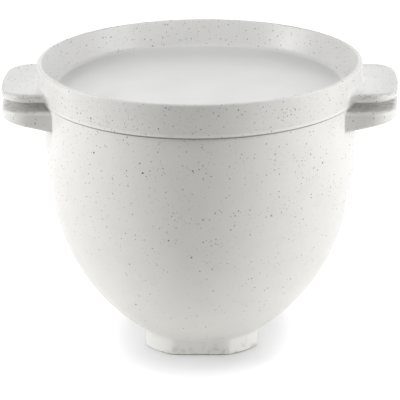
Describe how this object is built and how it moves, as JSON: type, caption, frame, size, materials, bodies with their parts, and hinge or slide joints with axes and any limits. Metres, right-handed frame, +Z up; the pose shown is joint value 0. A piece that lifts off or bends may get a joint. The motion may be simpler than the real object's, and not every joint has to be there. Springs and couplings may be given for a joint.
{
  "type": "stand mixer bowl",
  "caption": "Deep rounded ceramic mixing bowl with handle tabs and a lugged lock foot, with a shallow tray-shaped lid resting on its rim.",
  "frame": {"origin": "on the ground, at the centre of the bowl's foot", "axes": "+Z up along the bowl's axis, +X through the middle of a pair of handle tabs"},
  "size_m": [0.2892, 0.2373, 0.2148],
  "materials": {
    "bowl_glaze": "off-white satin glaze with fine grey-brown specks",
    "lid_glaze": "off-white satin glaze with fine grey-brown specks, and a plain tray floor"
  },
  "bodies": {
    "root": {"bowl": "bowl_glaze", "lid": "lid_glaze"}
  },
  "joints": []
}
